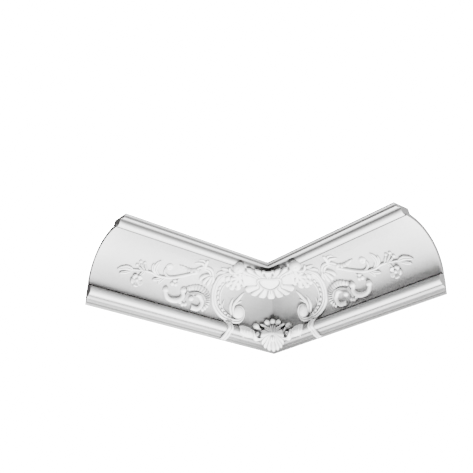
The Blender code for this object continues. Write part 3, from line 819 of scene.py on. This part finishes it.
def primer_group():
    group, given, result = new_group(
        "primer", [("Pebble", "Float")], [("Color", "Color"), ("Roughness", "Float"), ("Normal", "Vector")]
    )
    nodes, links = group.nodes, group.links
    place = nodes.new("ShaderNodeTexCoord")
    cloud = nodes.new("ShaderNodeTexNoise")
    cloud.inputs["Scale"].default_value = 14.0
    cloud.inputs["Detail"].default_value = 5.0
    tint = nodes.new("ShaderNodeValToRGB")
    tint.color_ramp.elements[0].position = 0.3
    tint.color_ramp.elements[0].color = (0.86, 0.86, 0.855, 1.0)
    tint.color_ramp.elements[1].position = 0.7
    tint.color_ramp.elements[1].color = (0.9, 0.9, 0.9, 1.0)
    sheen = nodes.new("ShaderNodeMapRange")
    sheen.inputs["To Min"].default_value = 0.46
    sheen.inputs["To Max"].default_value = 0.6
    pebble = nodes.new("ShaderNodeTexNoise")
    pebble.inputs["Scale"].default_value = 900.0
    pebble.inputs["Detail"].default_value = 3.0
    bump = nodes.new("ShaderNodeBump")
    bump.inputs["Distance"].default_value = 0.0002
    links.new(given.outputs["Pebble"], bump.inputs["Strength"])
    links.new(place.outputs["Object"], cloud.inputs["Vector"])
    links.new(place.outputs["Object"], pebble.inputs["Vector"])
    links.new(cloud.outputs["Fac"], tint.inputs["Fac"])
    links.new(cloud.outputs["Fac"], sheen.inputs["Value"])
    links.new(pebble.outputs["Fac"], bump.inputs["Height"])
    links.new(tint.outputs["Color"], result.inputs["Color"])
    links.new(sheen.outputs["Result"], result.inputs["Roughness"])
    links.new(bump.outputs["Normal"], result.inputs["Normal"])
    return group


PRIMER = primer_group()
print("primer nodes", len(PRIMER.nodes))

# %% [markdown]
# Soft room light makes a white form read by the grey of its hollows. Lights alone left them too pale beside
# the photo, so shade is painted into the colour of the coat where faces close in within a reach. One group
# looks at all faces and paints shade in the narrow gaps beside a leaf. The other looks at the faces of its
# own piece alone and paints shade in the wide hollows of the plain moulding. The painted shade is full grey
# where the share of open sky falls to Closed, and there is none from Open on.

# %% Painted shade in the hollows


def painted_shade_group(name, own_faces):
    sockets = [("Color", "Color")] + [(label, "Float") for label in ("Reach", "Closed", "Open", "Grey")]
    group, given, result = new_group(name, sockets, [("Color", "Color")])
    # Painted shade: the share of open sky found here greys the colour, standing in for shade where faces
    # close in.
    gap = group.nodes.new("ShaderNodeAmbientOcclusion")
    gap.samples = 8
    gap.only_local = own_faces
    share = group.nodes.new("ShaderNodeMapRange")
    mix = group.nodes.new("ShaderNodeMixRGB")
    for source, target in (
        (given.outputs["Reach"], gap.inputs["Distance"]),
        (given.outputs["Closed"], share.inputs["From Min"]),
        (given.outputs["Open"], share.inputs["From Max"]),
        (given.outputs["Grey"], mix.inputs["Color1"]),
        (given.outputs["Color"], mix.inputs["Color2"]),
        (gap.outputs["AO"], share.inputs["Value"]),
        (share.outputs["Result"], mix.inputs["Fac"]),
        (mix.outputs["Color"], result.inputs["Color"]),
    ):
        group.links.new(source, target)
    return group


NARROW_PAINTED_SHADE = painted_shade_group("painted_shade_narrow_gaps", False)
WIDE_PAINTED_SHADE = painted_shade_group("painted_shade_wide_hollows", True)
print("groups", NARROW_PAINTED_SHADE.name, WIDE_PAINTED_SHADE.name)

# %% [markdown]
# Both coats are the one primer with painted shade laid over its colour. On the carving, shade is painted in
# the gaps round each leaf. On the plain moulding it is also painted in the hollows beside the torus and,
# more softly, in the depth of the cove and of the corner.

# %% The primed coats with painted shade
# Layers of painted shade: each greys the coat's colour where faces close in, standing in for shade.
GROUND_PAINTED_SHADE = (
    (NARROW_PAINTED_SHADE, {"Reach": 0.006, "Closed": 0.1, "Open": 0.9, "Grey": 0.4}),
    (WIDE_PAINTED_SHADE, {"Reach": 0.04, "Closed": 0.55, "Open": 1.0, "Grey": 0.25}),
    (WIDE_PAINTED_SHADE, {"Reach": 0.2, "Closed": 0.7, "Open": 1.0, "Grey": 0.15}),
)
CARVED_PAINTED_SHADE = (
    (NARROW_PAINTED_SHADE, {"Reach": 0.007, "Closed": 0.3, "Open": 1.0, "Grey": 0.12}),
    (NARROW_PAINTED_SHADE, {"Reach": 0.03, "Closed": 0.1, "Open": 0.6, "Grey": 0.45}),
)


def primed_coat_with_painted_shade(name, hollows):
    material = bpy.data.materials.new(name)
    material.use_nodes = True
    nodes = material.node_tree.nodes
    links = material.node_tree.links
    surface = nodes["Principled BSDF"]
    primer = nodes.new("ShaderNodeGroup")
    primer.node_tree = PRIMER
    primer.inputs["Pebble"].default_value = 0.12
    colour = primer.outputs["Color"]
    # Each layer paints shade into the colour of the primer.
    for group, values in hollows:
        layer = nodes.new("ShaderNodeGroup")
        layer.node_tree = group
        for label, value in values.items():
            layer.inputs[label].default_value = value
        links.new(colour, layer.inputs["Color"])
        colour = layer.outputs["Color"]
    links.new(colour, surface.inputs["Base Color"])
    links.new(primer.outputs["Roughness"], surface.inputs["Roughness"])
    links.new(primer.outputs["Normal"], surface.inputs["Normal"])
    return material


moulding.data.materials.append(primed_coat_with_painted_shade("primed_ground_with_painted_shade", GROUND_PAINTED_SHADE))
carved_coat = primed_coat_with_painted_shade("primed_carving_with_painted_shade", CARVED_PAINTED_SHADE)
for piece in pieces[1:]:
    piece.data.materials.append(carved_coat)
print("coats", [piece.data.materials[0].name for piece in pieces])

# %% [markdown]
# The piece is seen from below, as it hangs in use, so the floor under it must not hide it. Its paper is
# seen from above only, lets the view through from underneath, and neither shades the piece nor throws light
# up on it. A plain solid floor would be simpler, but it would cover the whole view.

# %% The floor
FLOOR_HALF = 3.0
FLOOR_MIDDLE = 0.25


def pale_floor():
    material = bpy.data.materials.new("pale_floor")
    material.use_nodes = True
    nodes = material.node_tree.nodes
    links = material.node_tree.links
    paper = nodes["Principled BSDF"]
    grain = nodes.new("ShaderNodeTexNoise")
    grain.inputs["Scale"].default_value = 3.0
    tone = nodes.new("ShaderNodeValToRGB")
    tone.color_ramp.elements[0].color = (0.84, 0.84, 0.84, 1.0)
    tone.color_ramp.elements[1].color = (0.88, 0.88, 0.88, 1.0)
    links.new(grain.outputs["Fac"], tone.inputs["Fac"])
    links.new(tone.outputs["Color"], paper.inputs["Base Color"])
    paper.inputs["Roughness"].default_value = 0.9
    clear = nodes.new("ShaderNodeBsdfTransparent")
    side = nodes.new("ShaderNodeNewGeometry")
    mix = nodes.new("ShaderNodeMixShader")
    links.new(side.outputs["Backfacing"], mix.inputs["Fac"])
    links.new(paper.outputs["BSDF"], mix.inputs[1])
    links.new(clear.outputs["BSDF"], mix.inputs[2])
    links.new(mix.outputs["Shader"], nodes["Material Output"].inputs["Surface"])
    return material


floor_mesh = bmesh.new()
bmesh.ops.create_grid(floor_mesh, x_segments=1, y_segments=1, size=FLOOR_HALF)
bmesh.ops.translate(floor_mesh, verts=floor_mesh.verts, vec=(FLOOR_MIDDLE, -FLOOR_MIDDLE, cad_low.z))
floor_data = bpy.data.meshes.new("floor")
floor_mesh.to_mesh(floor_data)
floor_mesh.free()
floor = bpy.data.objects.new("floor", floor_data)
bpy.context.scene.collection.objects.link(floor)
floor_data.materials.append(pale_floor())
floor.visible_shadow = False
floor.visible_diffuse = False
print("floor", [round(side, 2) for side in floor.dimensions])

# %% [markdown]
# A white room gives faint light from all round. A large light low in the room, nearly under the corner,
# picks out the undersides of the members and leaves their tops in shade, as the light thrown up by a pale
# room does. It stands nearer to the back of the right leg, so the left leg comes out lighter. A weaker
# light behind shows the hidden sides. The photo has a pure white ground, so the camera sees a far brighter
# background than the one that lights the piece.

# %% The light


def soft_light(name, place, target, size, power):
    data = bpy.data.lights.new(name, "AREA")
    data.shape = "DISK"
    data.size = size
    data.energy = power
    light = bpy.data.objects.new(name, data)
    light.location = place
    light.rotation_mode = "QUATERNION"
    light.rotation_quaternion = (Vector(target) - Vector(place)).to_track_quat("-Z", "Y")
    bpy.context.scene.collection.objects.link(light)
    return light


world = bpy.data.worlds.new("white_room")
bpy.context.scene.world = world
world.use_nodes = True
nodes, links = world.node_tree.nodes, world.node_tree.links
room = nodes["Background"]
room.inputs["Color"].default_value = (1.0, 1.0, 1.0, 1.0)
room.inputs["Strength"].default_value = 0.12
seen = nodes.new("ShaderNodeBackground")
seen.inputs["Strength"].default_value = 40.0
looking = nodes.new("ShaderNodeLightPath")
choice = nodes.new("ShaderNodeMixShader")
links.new(looking.outputs["Is Camera Ray"], choice.inputs["Fac"])
links.new(room.outputs["Background"], choice.inputs[1])
links.new(seen.outputs["Background"], choice.inputs[2])
links.new(choice.outputs["Shader"], nodes["World Output"].inputs["Surface"])
MIDDLE = (0.2, -0.2, 0.08)
for light in (
    soft_light("room_light", (0.62, -0.2, -1.4), MIDDLE, 0.6, 150.0),
    soft_light("high_light", (-0.6, 0.8, 1.6), MIDDLE, 1.0, 60.0),
):
    print(light.name, "watts", light.data.energy)

# %% [markdown]
# The camera stands low in the room and looks up into the corner along the mitre, close to the photograph's
# angle. Its place was worked out from the mitre and the straight edges of the legs, so that the render can
# be laid on the photo.

# %% The camera
EYE = Vector((1.29422, -1.13357, -0.53635))
SIGHT = Vector((-0.70635, 0.55577, 0.43840)).normalized()
UPRIGHT = Vector((0.33566, -0.28230, 0.89869))
lens = bpy.data.cameras.new("camera")
lens.sensor_width = 36.0
lens.lens = 58.66
lens.clip_start = 0.01
camera = bpy.data.objects.new("camera", lens)
bpy.context.scene.collection.objects.link(camera)
up = (UPRIGHT - SIGHT * UPRIGHT.dot(SIGHT)).normalized()
right = SIGHT.cross(up)
camera.matrix_world = Matrix((
    (right.x, up.x, -SIGHT.x, EYE.x),
    (right.y, up.y, -SIGHT.y, EYE.y),
    (right.z, up.z, -SIGHT.z, EYE.z),
    (0, 0, 0, 1),
))
bpy.context.scene.camera = camera
print("lens", round(lens.lens, 2))
